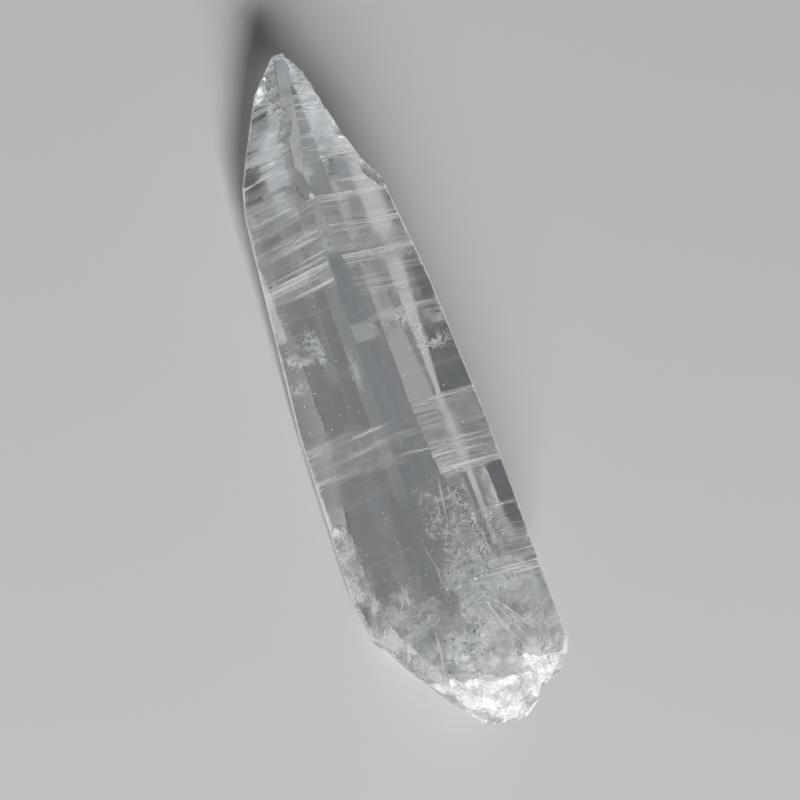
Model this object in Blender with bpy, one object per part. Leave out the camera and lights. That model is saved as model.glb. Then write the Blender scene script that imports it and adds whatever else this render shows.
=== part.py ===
"""A lemurian quartz crystal: one six-sided quartz prism, pointed at one end and broken off at the other.

Its long axis runs along Y with the point at +Y. It is drawn with its narrow ridge face on top (width
along X, thickness along Z), and then rolled onto its back left face, which it rests on. The middle of
its underside is the origin.
Every cross-section is bounded by seven straight faces whose directions never change: the six of the
prism and the narrow ridge face. Only their distances from the axis change along the crystal, so each
face stays flat between its growth ledges.
"""

import math
import random

import bmesh
import bpy
from mathutils import Matrix, Vector, noise

MM = 0.001
NODE = "quartz_crystal"
COLLECTION = "lemurian_quartz_crystal"

# Driving dimensions, in millimetres. Stations are (distance from the point, value).
BLANK_LENGTH = 166.0
THICKNESS = 25.0

# The two side faces, the two edges of the ridge face and its height, and the two faces behind.
LEFT_SIDE = [(0, -1.3), (6.9, -7.6), (17.8, -13.1), (26, -16.7), (32.4, -18.4), (82, -22.7),
             (BLANK_LENGTH, -24.0)]
RIGHT_SIDE = [(0, 1.3), (5.2, 4.2), (20.9, 7.9), (28.2, 10.3), (33.1, 13.1), (57.3, 16.0), (90.7, 18.0),
              (BLANK_LENGTH, 19.6)]
RIDGE_LEFT = [(0, -0.7), (7.5, -1.9), (16, -1.5), (19.5, -3.4), (26, -4.2), (29, -2.8), (36, -3.2),
              (40, -3.9), (BLANK_LENGTH, -4.1)]
RIDGE_RIGHT = [(0, 0.8), (3.8, 1.6), (7.2, 0.7), (15.9, -0.3), (23.1, -1.4), (26, -2.4), (31.6, -1.7),
               (36, -2.0), (39.7, -1.3), (47.3, -0.7), (64.7, 1.3), (89.8, 3.3), (99.3, 4.4), (108.9, 6.7),
               (BLANK_LENGTH, 8.0)]
RIDGE_HEIGHT = [(0, 12.6), (10, 18.2), (28, THICKNESS - 0.8), (34, THICKNESS), (85, THICKNESS),
                (94, THICKNESS + 0.7), (BLANK_LENGTH, THICKNESS + 1.2)]
BACK_LEFT = [(0, -0.4), (30, -2.5), (BLANK_LENGTH, -2.5)]
BACK_RIGHT = [(0, -0.4), (30, -2.5), (BLANK_LENGTH, -0.8)]
BACK_HEIGHT = [(0, 10.2), (10, 5.6), (30, 0.0), (BLANK_LENGTH, 0.0)]

# Directions of the faces around the axis, in degrees from +Z towards +X.
LEFT, FRONT_L, RIDGE, FRONT_R, RIGHT, BACK_R, BACK_L = range(7)
FACE_ANGLES = [-90, -31, 0, 31, 90, 148, -148]
FACES = range(len(FACE_ANGLES))
RESTING_FACE = BACK_L

# Growth ledges across each face: (first, last, how many, depth), in millimetres.
LEDGE_RISER = 0.4
LEDGE_LEAD = 3.0
LEDGES = {
    LEFT: [(20, 52, 7, 0.20), (60, 78, 4, 0.16), (85, 95, 4, 0.24), (100, 128, 4, 0.20)],
    FRONT_L: [(8, 28, 9, 0.10), (33, 53, 11, 0.14), (85, 94, 6, 0.26), (100, 100, 1, 0.20),
              (109, 119, 3, 0.16)],
    RIDGE: [(45, 52, 4, 0.08), (85, 94, 6, 0.26)],
    FRONT_R: [(8, 24, 6, 0.08), (34, 53, 14, 0.18), (58, 69, 4, 0.34), (74, 79, 2, 0.22),
              (84, 100, 12, 0.30), (110, 110, 1, 0.20), (118, 126, 6, 0.22)],
    RIGHT: [(38, 56, 5, 0.16), (64, 78, 4, 0.22), (84, 100, 5, 0.24), (108, 126, 4, 0.20)],
    BACK_R: [(36, 60, 10, 0.20), (66, 78, 4, 0.24), (84, 102, 8, 0.28), (112, 130, 5, 0.22)],
    BACK_L: [(36, 56, 10, 0.18), (86, 98, 7, 0.28), (106, 132, 6, 0.22)],
}

# The broken base: its edge seen from the front as (across, distance from the point).
BASE_EDGE = [(-26, 112.5), (-24.0, 114.5), (-22.9, 123.0), (-21.9, 130.5), (-16.2, 139.8), (-10.4, 148.8),
             (-5.0, 155.0), (-1.1, 156.8), (5.6, 156.6), (8.9, 155.0), (10.4, 152.5), (14.6, 150.8),
             (17.6, 148.2), (19.6, 144.8), (22, 139.0)]
BASE_BULGE_HEIGHT = 10.0
BASE_FRONT_LEAN = 10.0
BASE_BACK_LEAN = 5.0
RIPPLE_CENTRE = (4.0, 32.0)
RIPPLE_SPACING = 5.2
RIPPLE_DEPTH = 0.45
LUMP_DEPTH = 1.1
LUMP_SIZE = 9.0
CUTTER_ACROSS = (-27.0, 23.0)
CUTTER_HEIGHTS = (-3.0, 29.0)
CUTTER_CELL = 1.25

# Rows of small scoops along chipped edges: (first, last, how many, smallest radius, largest radius).
RIDGE_CHIPS = (3.2, 19.0, 14, 0.9, 1.9)
RIDGE_CHIP_OFFSET = 1.5
TIP_NIBBLES = (0.8, 15.0, 9, 0.6, 1.1)
NIBBLE_STRETCH = 9.0

# Single scoops: (distance from the point, across, radius, depth), in millimetres.
SCOOPS = [(29.8, 12.6, 3.2, 1.3), (32.4, 13.4, 2.2, 0.9), (20.0, 9.0, 2.6, 0.8), (147.5, 12.0, 8.0, 1.5),
          (150.5, -6.0, 9.0, 1.4), (127.0, -21.0, 8.0, 1.7), (139.0, -15.0, 7.0, 1.1)]

MERGE = 0.02


def value_at(stations, s):
    """Straight-line value between (distance, value) stations, level beyond the first and the last."""
    first = stations[0]
    if s <= first[0]:
        return first[1]
    for second in stations[1:]:
        if s <= second[0]:
            share = (s - first[0]) / (second[0] - first[0])
            return first[1] + share * (second[1] - first[1])
        first = second
    return first[1]


def ledge_stations(face):
    """Relief of a face as stations: it sinks slowly inwards, then each ledge steps back out."""
    spread = random.Random(face + 1)
    stations = [(0.0, 0.0)]
    for first, last, count, depth in LEDGES[face]:
        stations.append((first - LEDGE_LEAD, 0.0))
        gap = (last - first) / max(count - 1, 1)
        for step in range(count):
            place = first + (step + spread.uniform(-0.2, 0.2)) * gap
            low = round(place - LEDGE_RISER / 2, 1)
            stations.append((low, -depth * spread.uniform(0.6, 1.2)))
            stations.append((round(low + LEDGE_RISER, 1), 0.0))
    return stations


def normal_of(face):
    """Unit normal of a face in the cross-section, as (across, up)."""
    angle = math.radians(FACE_ANGLES[face])
    return math.sin(angle), math.cos(angle)


def face_distances(s, ledges):
    """Distance of each face from the axis in the cross-section at s."""
    ridge = value_at(RIDGE_HEIGHT, s)
    back = value_at(BACK_HEIGHT, s)
    points = {
        LEFT: (value_at(LEFT_SIDE, s), 0.0),
        FRONT_L: (value_at(RIDGE_LEFT, s), ridge),
        RIDGE: (0.0, ridge),
        FRONT_R: (value_at(RIDGE_RIGHT, s), ridge),
        RIGHT: (value_at(RIGHT_SIDE, s), 0.0),
        BACK_R: (value_at(BACK_RIGHT, s), back),
        BACK_L: (value_at(BACK_LEFT, s), back),
    }
    distances = []
    for face in FACES:
        across, up = normal_of(face)
        x, z = points[face]
        distances.append(across * x + up * z + value_at(ledges[face], s))
    return distances


def section(s, ledges):
    """Corners of the cross-section at s: where each face meets the next."""
    distances = face_distances(s, ledges)
    corners = []
    for face in FACES:
        after = (face + 1) % len(FACES)
        ax, az = normal_of(face)
        bx, bz = normal_of(after)
        turn = ax * bz - az * bx
        x = (distances[face] * bz - distances[after] * az) / turn
        z = (ax * distances[after] - bx * distances[face]) / turn
        corners.append((x, z))
    return corners


def section_places(ledges):
    """Where sections are needed: at every station of the outline and of the ledges."""
    places = {BLANK_LENGTH}
    outline = [LEFT_SIDE, RIGHT_SIDE, RIDGE_LEFT, RIDGE_RIGHT, RIDGE_HEIGHT, BACK_HEIGHT]
    for stations in outline + ledges:
        places.update(round(s, 1) for s, _ in stations)
    return sorted(places)


def new_object(name, mesh_data, collection):
    """Put a finished bmesh into an object of its own, scaled from millimetres to metres."""
    bmesh.ops.scale(mesh_data, verts=mesh_data.verts, vec=(MM, MM, MM))
    bmesh.ops.recalc_face_normals(mesh_data, faces=mesh_data.faces)
    mesh = bpy.data.meshes.new(name)
    mesh_data.to_mesh(mesh)
    mesh_data.free()
    item = bpy.data.objects.new(name, mesh)
    collection.objects.link(item)
    return item


def make_prism(collection):
    """Loft the faceted crystal from its point to past its base."""
    ledges = [ledge_stations(face) for face in FACES]
    body = bmesh.new()
    rings = []
    for s in section_places(ledges):
        rings.append([body.verts.new((x, -s, z)) for x, z in section(s, ledges)])
    for ring, following in zip(rings, rings[1:]):
        for corner in FACES:
            after = (corner + 1) % len(FACES)
            body.faces.new((ring[corner], ring[after], following[after], following[corner]))
    body.faces.new(rings[0])
    body.faces.new(rings[-1])
    return new_object(NODE, body, collection)


def base_distance(x, z):
    """Distance from the point of the broken base, at a place in the cross-section."""
    above = z - BASE_BULGE_HEIGHT
    if above > 0:
        lean = BASE_FRONT_LEAN * (above / (THICKNESS - BASE_BULGE_HEIGHT)) ** 2
    else:
        lean = BASE_BACK_LEAN * (above / BASE_BULGE_HEIGHT) ** 2
    away = math.hypot(x - RIPPLE_CENTRE[0], z - RIPPLE_CENTRE[1])
    ripple = RIPPLE_DEPTH * math.sin(2 * math.pi * away / RIPPLE_SPACING)
    lump = LUMP_DEPTH * noise.noise(Vector((x, z, 0.0)) / LUMP_SIZE)
    return value_at(BASE_EDGE, x) - lean + ripple + lump


def make_base_cutter(collection):
    """A block whose near surface is the broken base."""
    width = CUTTER_ACROSS[1] - CUTTER_ACROSS[0]
    height = CUTTER_HEIGHTS[1] - CUTTER_HEIGHTS[0]
    cutter = bmesh.new()
    columns = round(width / CUTTER_CELL)
    rows = round(height / CUTTER_CELL)
    bmesh.ops.create_grid(cutter, x_segments=columns, y_segments=rows, size=0.5)
    for vert in cutter.verts:
        x = CUTTER_ACROSS[0] + (vert.co.x + 0.5) * width
        z = CUTTER_HEIGHTS[0] + (vert.co.y + 0.5) * height
        vert.co = (x, -base_distance(x, z), z)
    far = bmesh.ops.extrude_face_region(cutter, geom=list(cutter.faces))
    for item in far["geom"]:
        if isinstance(item, bmesh.types.BMVert):
            item.co.y = -2 * BLANK_LENGTH
    return new_object("base_cutter", cutter, collection)


def front_height(s, x):
    """Height of the front of the crystal at a place across it."""
    slope = math.tan(math.radians(FACE_ANGLES[FRONT_R]))
    outside = max(value_at(RIDGE_LEFT, s) - x, x - value_at(RIDGE_RIGHT, s), 0.0)
    return value_at(RIDGE_HEIGHT, s) - outside * slope


def make_scoop(name, centre, radius, stretch, collection):
    """A rough ball, stretched along each axis, that scoops out one chip."""
    cutter = bmesh.new()
    bmesh.ops.create_icosphere(cutter, subdivisions=2, radius=radius)
    for vert in cutter.verts:
        rough = noise.noise(vert.co / (0.7 * radius) + Vector(centre))
        vert.co *= 1.0 + 0.22 * rough
    bmesh.ops.scale(cutter, verts=cutter.verts, vec=stretch)
    bmesh.ops.translate(cutter, verts=cutter.verts, vec=centre)
    return new_object(name, cutter, collection)


def spread_along(row, seed):
    """Places along a chipped edge, each with its radius and a share from 0 to 1 for its other sizes."""
    first, last, count, smallest, largest = row
    spread = random.Random(seed)
    for step in range(count):
        s = first + (last - first) * (step + spread.uniform(-0.3, 0.3)) / (count - 1)
        yield s, spread.uniform(smallest, largest), spread.random()


def make_scoops(collection):
    """Every chip's cutter: along the ridge, along the point's right edge, and the single ones."""
    cutters = []
    for s, radius, share in spread_along(RIDGE_CHIPS, 11):
        x = value_at(RIDGE_LEFT, s) - RIDGE_CHIP_OFFSET * (0.5 + share)
        centre = (x, -s, front_height(s, x) + 0.6 * radius)
        stretch = (0.7 + 0.5 * share, 1.5 - 0.6 * share, 1.0)
        cutters.append(make_scoop("ridge_scoop", centre, radius, stretch, collection))
    for s, radius, share in spread_along(TIP_NIBBLES, 12):
        x = value_at(RIGHT_SIDE, s) + (0.55 + 0.2 * share) * radius
        centre = (x, -s, front_height(s, x) - radius)
        cutters.append(make_scoop("edge_scoop", centre, radius, (1.0, 1.2, NIBBLE_STRETCH), collection))
    for s, x, radius, depth in SCOOPS:
        centre = (x, -s, front_height(s, x) + radius - depth)
        cutters.append(make_scoop("single_scoop", centre, radius, (1.0, 1.3, 1.0), collection))
    return cutters


def quartz_material():
    """Clear, faintly cool quartz."""
    material = bpy.data.materials.new("clear_quartz")
    material.use_nodes = True
    shader = material.node_tree.nodes["Principled BSDF"]
    shader.inputs["Base Color"].default_value = (0.93, 0.94, 0.94, 1.0)
    shader.inputs["Roughness"].default_value = 0.04
    shader.inputs["Metallic"].default_value = 0.0
    shader.inputs["IOR"].default_value = 1.544
    shader.inputs["Transmission Weight"].default_value = 1.0
    return material


def cut_away(crystal, cutters):
    """Remove the cutters' volumes from the crystal, one after another."""
    for cutter in cutters:
        cutter.hide_render = True
        cutter.display_type = "WIRE"
        modifier = crystal.modifiers.new(cutter.name, "BOOLEAN")
        modifier.operation = "DIFFERENCE"
        modifier.solver = "EXACT"
        modifier.object = cutter
    graph = bpy.context.evaluated_depsgraph_get()
    cut = bpy.data.meshes.new_from_object(crystal.evaluated_get(graph))
    crystal.modifiers.clear()
    crystal.data = cut


def lay_down(crystal):
    """Merge doubled corners, roll the crystal onto its resting face and centre it over the origin."""
    body = bmesh.new()
    body.from_mesh(crystal.data)
    bmesh.ops.remove_doubles(body, verts=body.verts, dist=MERGE * MM)
    bmesh.ops.dissolve_degenerate(body, edges=body.edges, dist=MERGE * MM)
    bmesh.ops.triangulate(body, faces=body.faces)
    roll = math.radians(180 - FACE_ANGLES[RESTING_FACE])
    bmesh.ops.rotate(body, verts=body.verts, matrix=Matrix.Rotation(roll, 3, "Y"))
    corners = [vert.co for vert in body.verts]
    low = Vector([min(corner[axis] for corner in corners) for axis in range(3)])
    high = Vector([max(corner[axis] for corner in corners) for axis in range(3)])
    middle = (low + high) / 2
    middle.z = low.z
    bmesh.ops.translate(body, verts=body.verts, vec=-middle)
    body.to_mesh(crystal.data)
    body.free()


def new_collection(name):
    """A collection linked to the scene."""
    collection = bpy.data.collections.new(name)
    bpy.context.scene.collection.children.link(collection)
    return collection


def build():
    """Make the crystal."""
    for item in list(bpy.data.objects):
        bpy.data.objects.remove(item, do_unlink=True)
    parts = new_collection(COLLECTION)
    cutting = new_collection("cutters")
    crystal = make_prism(parts)
    cut_away(crystal, [make_base_cutter(cutting)] + make_scoops(cutting))
    lay_down(crystal)
    crystal.data.materials.clear()
    crystal.data.materials.append(quartz_material())


build()
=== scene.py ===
"""Dressing for a lemurian quartz crystal: clear, striated, chipped along its ridge, milky at its broken base.

The crystal is drawn standing on its own axes, in millimetres: x across, y = minus the distance from its
point, z through its thickness with the narrow ridge face on top. It is then rolled onto its back left face.
"""

import math
import random

import bmesh
import bpy
import numpy as np
from mathutils import Matrix, Vector, noise


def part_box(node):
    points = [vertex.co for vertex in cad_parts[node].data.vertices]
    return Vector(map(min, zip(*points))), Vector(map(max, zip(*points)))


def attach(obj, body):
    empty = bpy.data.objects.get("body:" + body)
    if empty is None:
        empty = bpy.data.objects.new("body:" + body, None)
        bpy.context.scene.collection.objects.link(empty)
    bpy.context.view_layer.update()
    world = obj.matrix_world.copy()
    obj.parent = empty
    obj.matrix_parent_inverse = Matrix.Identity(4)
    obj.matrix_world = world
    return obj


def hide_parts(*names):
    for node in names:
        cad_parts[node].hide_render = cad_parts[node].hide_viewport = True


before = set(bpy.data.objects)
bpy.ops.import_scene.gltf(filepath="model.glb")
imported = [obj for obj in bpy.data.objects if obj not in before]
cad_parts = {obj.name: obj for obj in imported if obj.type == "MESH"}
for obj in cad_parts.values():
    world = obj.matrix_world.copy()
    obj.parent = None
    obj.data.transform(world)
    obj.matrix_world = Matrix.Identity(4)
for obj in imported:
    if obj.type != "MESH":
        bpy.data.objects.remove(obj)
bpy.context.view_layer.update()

MM = 0.001
NODE = "quartz_crystal"

# Stations are (distance from the point, value), in millimetres.
BLANK_LENGTH = 166.0
THICKNESS = 25.0
LEFT_SIDE = [(0, -1.3), (6.9, -7.6), (17.8, -13.1), (26, -16.7), (32.4, -18.4), (82, -22.7),
             (BLANK_LENGTH, -24)]
RIGHT_SIDE = [(0, 1.3), (5.2, 4.2), (20.9, 7.9), (28.2, 10.3), (33.1, 13.1), (57.3, 16), (90.7, 18),
              (BLANK_LENGTH, 19.6)]
RIDGE_LEFT = [(0, -0.7), (7.5, -1.9), (16, -1.5), (19.5, -3.4), (26, -4.2), (29, -2.8), (36, -3.2),
              (40, -3.9), (BLANK_LENGTH, -4.1)]
RIDGE_RIGHT = [(0, 0.8), (3.8, 1.6), (7.2, 0.7), (15.9, -0.3), (23.1, -1.4), (26, -2.4), (31.6, -1.7),
               (36, -2), (39.7, -1.3), (47.3, -0.7), (64.7, 1.3), (89.8, 3.3), (99.3, 4.4), (108.9, 6.7),
               (BLANK_LENGTH, 8)]
RIDGE_HEIGHT = [(0, 12.6), (10, 18.2), (28, THICKNESS - 0.8), (34, THICKNESS), (85, THICKNESS),
                (94, THICKNESS + 0.7), (BLANK_LENGTH, THICKNESS + 1.2)]
BACK_LEFT = [(0, -0.4), (30, -2.5), (BLANK_LENGTH, -2.5)]
BACK_RIGHT = [(0, -0.4), (30, -2.5), (BLANK_LENGTH, -0.8)]
BACK_HEIGHT = [(0, 10.2), (10, 5.6), (30, 0), (BLANK_LENGTH, 0)]

# Directions of the faces around the axis, in degrees from +Z towards +X.
LEFT, FRONT_L, RIDGE, FRONT_R, RIGHT, BACK_R, BACK_L = range(7)
FACE_ANGLES = [-90, -31, 0, 31, 90, 148, -148]
FACES = range(len(FACE_ANGLES))
ROLL = math.radians(180 - FACE_ANGLES[BACK_L])

# Growth ledges across each face: (first, last, how many, depth), and how much of its depth each face keeps.
LEDGE_RISER = 0.4
LEDGE_LEAD = 3.0
LEDGES = {
    LEFT: [(20, 52, 7, 0.2), (60, 78, 4, 0.16), (85, 95, 4, 0.24), (100, 128, 4, 0.2)],
    FRONT_L: [(8, 28, 9, 0.1), (33, 53, 11, 0.14), (85, 94, 6, 0.26), (100, 100, 1, 0.2),
              (109, 119, 3, 0.16)],
    RIDGE: [(45, 52, 4, 0.08), (85, 94, 6, 0.26)],
    FRONT_R: [(8, 24, 6, 0.08), (34, 53, 14, 0.18), (58, 69, 4, 0.34), (74, 79, 2, 0.22),
              (84, 100, 12, 0.3), (110, 110, 1, 0.2), (118, 126, 6, 0.22)],
    RIGHT: [(38, 56, 5, 0.16), (64, 78, 4, 0.22), (84, 100, 5, 0.24), (108, 126, 4, 0.2)],
    BACK_R: [(36, 60, 10, 0.2), (66, 78, 4, 0.24), (84, 102, 8, 0.28), (112, 130, 5, 0.22)],
    BACK_L: [(36, 56, 10, 0.18), (86, 98, 7, 0.28), (106, 132, 6, 0.22)],
}
LEDGE_SHARE = {LEFT: 0, FRONT_L: 0.14, RIDGE: 0.4, FRONT_R: 0.14, RIGHT: 0.06, BACK_R: 0.03,
               BACK_L: 0.03}

# The fine mesh: rows along the crystal, columns across each face, and how far a row wavers.
ROW_SPACING = 0.25
CLOSEST_ROWS = 0.09
COLUMNS = {LEFT: 2, FRONT_L: 30, RIDGE: 10, FRONT_R: 30, RIGHT: 3, BACK_R: 10, BACK_L: 10}
WAVER = 0.22
WAVER_LENGTH = 14.0
WAVER_STRETCH = 1.5
WAVER_FULL = 20.0

# Strength of the fine growth lines over each face: (first, last, strength).
LINES = {
    LEFT: [(10, 128, 0.5)],
    FRONT_L: [(5, 30, 1.7), (30, 53, 1.05), (84.5, 94.5, 1), (99, 101, 0.5), (109, 128, 0.35)],
    RIDGE: [(44, 48, 0.6), (84.5, 94.5, 1.6)],
    FRONT_R: [(5, 30, 1.7), (30, 57, 1.05), (62, 69, 0.5), (83, 101, 0.95), (109, 112, 0.6),
              (117, 128, 0.9)],
    RIGHT: [(30, 128, 0.6)],
    BACK_R: [(34, 60, 0.5), (84, 102, 0.5), (112, 130, 0.4)],
    BACK_L: [(34, 58, 0.5), (86, 98, 0.5), (106, 132, 0.4)],
}
LINE_DEPTH = 0.03
LINE_SPACING = 0.8
LINE_LENGTH = 26.0
LINE_SLANT = 0.11
LINES_FEATHER = 1.5
# The share of the lines left where two faces meet.
EDGE_LINES = 0.3

# The broken base: its edge seen from the front as (across, distance from the point).
BASE_EDGE = [(-26, 112.5), (-24, 114.5), (-22.9, 123), (-21.9, 130.5), (-16.2, 139.8), (-10.4, 148.8),
             (-5, 155), (-1.1, 156.8), (5.6, 156.6), (8.9, 155), (10.4, 152.5), (14.6, 150.8),
             (17.6, 148.2), (19.6, 144.8), (22, 139)]
BASE_BULGE_HEIGHT = 10.0
BASE_FRONT_LEAN = 10.0
BASE_BACK_LEAN = 5.0
# How far the base's roughness reaches from its smooth form.
BASE_ROUGHNESS = 2.2
RIPPLE_CENTRE = (4, 32)
RIPPLE_SPACING = 5.2
RIPPLE_DEPTH = 0.45
LUMP_DEPTH = 1.1
LUMP_SIZE = 9.0
# Creases of the break: (size, depth).
CREASES = [(4.2, 0.9), (1.7, 0.45), (0.8, 0.2)]
CUTTER_ACROSS = (-27, 23)
CUTTER_HEIGHTS = (-3, 29)
CUTTER_CELL = 0.32

# Chips: rows are (first, last, how many, smallest radius, largest radius).
RIDGE_CHIPS = (3.2, 19, 14, 0.9, 1.9)
RIDGE_CHIP_OFFSET = 1.5
TIP_NIBBLES = (0.8, 15, 9, 0.6, 1.1)
NIBBLE_STRETCH = 9.0
FINE_CHIPS = (4, 19.5, 46, 0.35, 0.8)
# Single scoops: (distance from the point, across, radius, depth).
SCOOPS = [(29.8, 12.6, 3.2, 1.3), (32.4, 13.4, 2.2, 0.9), (20, 9, 2.6, 0.8), (147.5, 12, 8, 0.8),
          (150.5, -6, 9, 0.9)]
# Shallow chips that run together along the lower left edge: (distance from the point, across) of their row.
LOWER_EDGE = [(112, -21.9), (122, -21.1), (131, -19.6), (139, -15.4), (148, -9.8)]
LOWER_CHIPS = (108, 150, 34, 4.6, 5.2)
LOWER_CHIP_DEPTH = 0.75
LOWER_CHIP_STRETCH = (0.8, 1.6, 1)
RUGGEDNESS = 0.22
LOWER_RUGGEDNESS = 0.05

# Frosting in bands over each face: (first, last, strength).
FROST = {
    LEFT: [(8, 118, 0.3)],
    FRONT_L: [(8, 26, 0.16), (24, 54, 0.18), (84.6, 94.4, 0.24)],
    RIDGE: [(1, 28, 0.75), (28, 31, 0.5), (34, 46.5, 0.3), (62.5, 67, 0.3), (84.8, 94, 0.1),
            (97, 126, 0.08)],
    FRONT_R: [(6, 34, 0.2), (32, 50.5, 0.22), (56.7, 57.8, 0.35), (62, 63.2, 0.35), (76, 77, 0.3),
              (83, 101, 0.34), (109.8, 110.6, 0.4)],
    RIGHT: [(20, 120, 0.25)],
    BACK_R: [],
    BACK_L: [],
}
FROST_FEATHER = 1.2
# Small white bruises on the front: (distance from the point, across, half length, half width, strength).
BRUISES = [(18.6, -4, 1.3, 1.3, 1.4), (28, -1.8, 1, 0.9, 1.5), (33.4, -2.8, 0.55, 0.4, 1.2)]
# A frosted strip along the left edge, its thin stretches a painted highlight of the edge's bright line:
# (distance from the point, width) stations.
EDGE_STRIP = [(12, 0.4), (44, 0.55), (46, 1), (52, 1.7), (61.3, 2.9), (61.6, 0.5), (84, 0.5), (108, 1.2),
              (114, 4), (132, 4.4), (166, 4.4)]
STRIP_FROST_AND_HIGHLIGHT = 0.6
# A thin white rim along both side edges, a painted highlight of their bright outline, how frosted it is
# painted, and how softly rim and strip end.
RIM_HIGHLIGHT_WIDTH = 0.3
RIM_HIGHLIGHT_FROST = 1.1
EDGE_FADE = 0.5
# How crinkled each face is: (first, last, strength).
CRINKLE = {
    LEFT: [(110, 160, 0.5)],
    FRONT_L: [(119, 134, 0.4), (134, 160, 0.2)],
    RIDGE: [(1, 29, 0.25), (33, 46.5, 0.9), (62.5, 67, 0.6), (99, 132, 0.7), (132, 160, 0.2)],
    FRONT_R: [(46, 50.5, 0.6), (121, 134, 0.4), (134, 160, 0.2)],
    RIGHT: [(112, 160, 0.4)],
    BACK_R: [(120, 160, 0.3)],
    BACK_L: [(120, 160, 0.3)],
}
CRINKLE_FEATHER = 4.0
# Clouds of frost that set in towards the base: (mean, swing, least, most). Fractals are (roughness, step in
# scale, octaves).
MILKY_FROM = 116.0
MILKY_FULL = 151.0
CLOUDY_SIZE = 3.2
CLOUDY_FRACTAL = (0.4, 2.3, 4)
CLOUDY = (0.6, 0.6, 0.15, 0.9)
# Sizes of the patches and grains that break up the frost, and how much the grains fray a bruise.
PATCH_SIZE = 4.0
GRAIN_SIZE = 0.7
FRAY = 1.1
# What lies this close to a face, and looks its way this well, is its unbroken skin.
SKIN_DEPTH = 0.3
SKIN_MATCH = 0.8
# Breaks and chips, at the base and nearer the point: (mean frost, patchy share, grainy share).
BREAK_FROM = 105.0
BASE_BREAK_FROST = (0.55, 0.7, 0.4)
TIP_BREAK_FROST = (0.85, 0.0, 1.2)
BREAK_CRINKLE = 0.8

# Healed cracks inside: distance from the point, across, height, half length, half width, lean, twist, flakes.
VEILS = [
    (122, 3, 17, 9, 6.5, 0.5, 0.2, 1800), (127, 11, 14, 7, 5, -0.4, 0.6, 1800),
    (133, 0, 15, 8, 7, 0.9, -0.3, 2200), (138, -8, 13, 8, 5, 0.3, 0.8, 1600),
    (141, 7, 14, 8, 7, -0.7, 0.1, 2200), (128, -14, 12, 7, 4, 0.2, -0.6, 1200),
    (147, 0, 11, 6, 8, 1, 0.3, 2200), (112, 5, 21, 8, 3.5, 0.6, 0.1, 700),
    (116, 9, 16, 6, 4, -0.8, -0.4, 700),
]
VEIL_GRAIN = 2.5
VEIL_BEND = 1.6
VEIL_CRUMPLE = 0.6
# Small clouds just under the front: (distance from the point, across, half length, half width, flakes).
CLOUDS = [(63.6, -13.3, 2.6, 1.6, 1100), (66.6, -11.9, 2.2, 0.9, 600), (65.6, -18.7, 1.5, 1.9, 800),
          (66.8, -15.6, 1, 2.6, 500), (64.5, 7.5, 1.7, 1.8, 900), (67.4, 9.4, 2.2, 0.9, 500),
          (71.5, 12.4, 1.6, 3.6, 1100), (73, -5.8, 5, 1, 500),
          (121, 4, 6, 6, 1200), (126, 11.5, 4, 4.5, 1500)]
CLOUD_DEPTH = 0.7
CLOUD_GRAIN = 0.9
# Lone white specks under the front: (first, last, how many).
SPECKS = (20, 112, 90)
# Fine milk towards the base: (first, last, how many are tried, how steeply it thickens), and its
# lowest and highest (across, height).
MILK = (115, 157, 110000, 1.9)
MILK_LOW = (-23.5, 0.5)
MILK_HIGH = (19.5, 26)
MILK_CLUMP_SIZE = 6.0
MILK_FRACTAL = (0.6, 2.0, 3)
# Smallest and largest flakes, and the two tones they are mottled between.
VEIL_FLAKES = (0.1, 0.26)
CLOUD_FLAKES = (0.04, 0.11)
SPECK_FLAKES = (0.05, 0.15)
MILK_FLAKES = (0.07, 0.17)
HOLLOW_FLAKES = (0.12, 0.24)
WHITE_TONES = ((0.86, 0.88, 0.9, 1), (0.97, 0.97, 0.96, 1))
# The dark tones are painted shade: black for the dark seen through the small hollows.
PAINTED_SHADE_TONES = ((0.03, 0.03, 0.03, 1), (0.08, 0.08, 0.09, 1))
# Splinter-like fractures: how many, then their ranges of distance from the point, across, depth and size.
WISPS = [
    (420, (99, 126), (-2.5, 8), (0.5, 3), (0.5, 1.6)),
    (1000, (120.5, 150), (-16, 15), (0.4, 4), (0.6, 2.4)),
    (1500, (133, 154), (-13, 15), (0.3, 2.2), (0.6, 2.2)),
]
WISP_PATCH_SIZE = 4.5
WISP_BEND = 0.24
WISP_THICKNESS = 0.055
WISP_THICKEST = 0.45
WISP_TAPER = 3.2
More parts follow.
